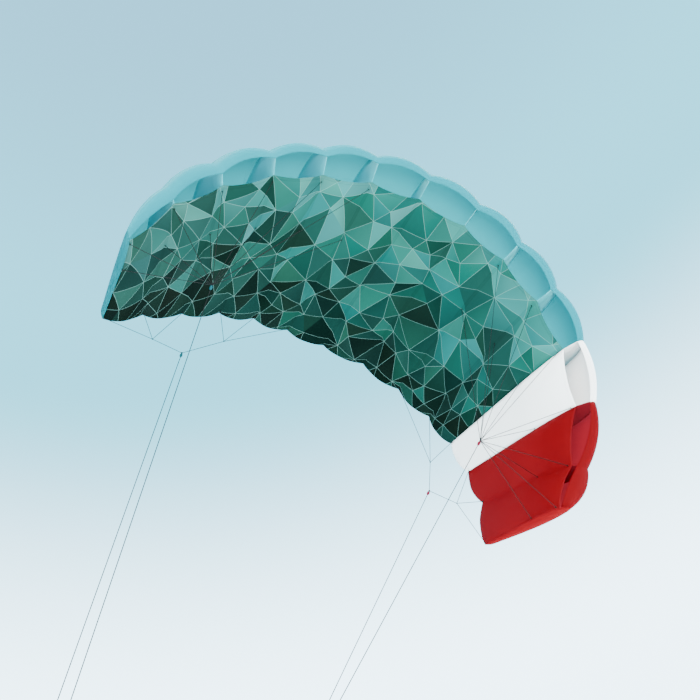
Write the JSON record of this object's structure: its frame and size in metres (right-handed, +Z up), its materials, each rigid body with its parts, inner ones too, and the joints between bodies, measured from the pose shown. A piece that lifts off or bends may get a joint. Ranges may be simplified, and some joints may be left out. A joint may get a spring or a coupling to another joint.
{
  "type": "foil kite",
  "caption": "Arched ram-air cloth foil kite in flight, with open cells along the nose, fanned bridle lines and the tops of its taut flying lines.",
  "frame": {"origin": "on the crown, at the top of the middle cell's upper panel", "axes": "+X across the span, to the right for someone facing the leading edge; +Y from leading to trailing edge; +Z up"},
  "size_m": [1.44, 0.8497, 1.9578],
  "materials": {
    "cloth_teal": "thin coated ripstop, light teal",
    "cloth_print": "thin coated ripstop, printed with green and teal triangles",
    "cloth_white": "thin coated ripstop, white",
    "cloth_red": "thin coated ripstop, red",
    "line_grey": "thin braided line, grey",
    "tail_blue": "short knotted cord, light blue",
    "tail_red": "short knotted cord, red"
  },
  "bodies": {
    "root": {"upper_panel_01": "cloth_teal", "upper_panel_02": "cloth_teal", "upper_panel_03": "cloth_teal", "upper_panel_04": "cloth_teal", "upper_panel_05": "cloth_teal", "upper_panel_06": "cloth_teal", "upper_panel_07": "cloth_teal", "upper_panel_08": "cloth_teal", "upper_panel_09": "cloth_teal", "upper_panel_10": "cloth_teal", "upper_panel_11": "cloth_white", "upper_panel_12": "cloth_red", "upper_panel_13": "cloth_red", "lower_panel_01": "cloth_print", "lower_panel_02": "cloth_print", "lower_panel_03": "cloth_print", "lower_panel_04": "cloth_print", "lower_panel_05": "cloth_print", "lower_panel_06": "cloth_print", "lower_panel_07": "cloth_print", "lower_panel_08": "cloth_print", "lower_panel_09": "cloth_print", "lower_panel_10": "cloth_print", "lower_panel_11": "cloth_white", "lower_panel_12": "cloth_red", "lower_panel_13": "cloth_red", "rib_01": "cloth_teal", "rib_02": "cloth_teal", "rib_03": "cloth_teal", "rib_04": "cloth_teal", "rib_05": "cloth_teal", "rib_06": "cloth_teal", "rib_07": "cloth_teal", "rib_08": "cloth_teal", "rib_09": "cloth_teal", "rib_10": "cloth_teal", "rib_11": "cloth_white", "rib_12": "cloth_red", "rib_13": "cloth_red", "rib_14": "cloth_red", "power_bridle_left": "line_grey", "power_bridle_right": "line_grey", "brake_bridle_left": "line_grey", "brake_bridle_right": "line_grey", "power_tail_left": "tail_blue", "brake_tail_left": "tail_blue", "power_tail_right": "tail_red", "brake_tail_right": "tail_red", "power_line_left": "line_grey", "brake_line_left": "line_grey", "power_line_right": "line_grey", "brake_line_right": "line_grey", "power_loop_left": "line_grey", "brake_loop_left": "line_grey", "power_loop_right": "line_grey", "brake_loop_right": "line_grey"}
  },
  "joints": []
}
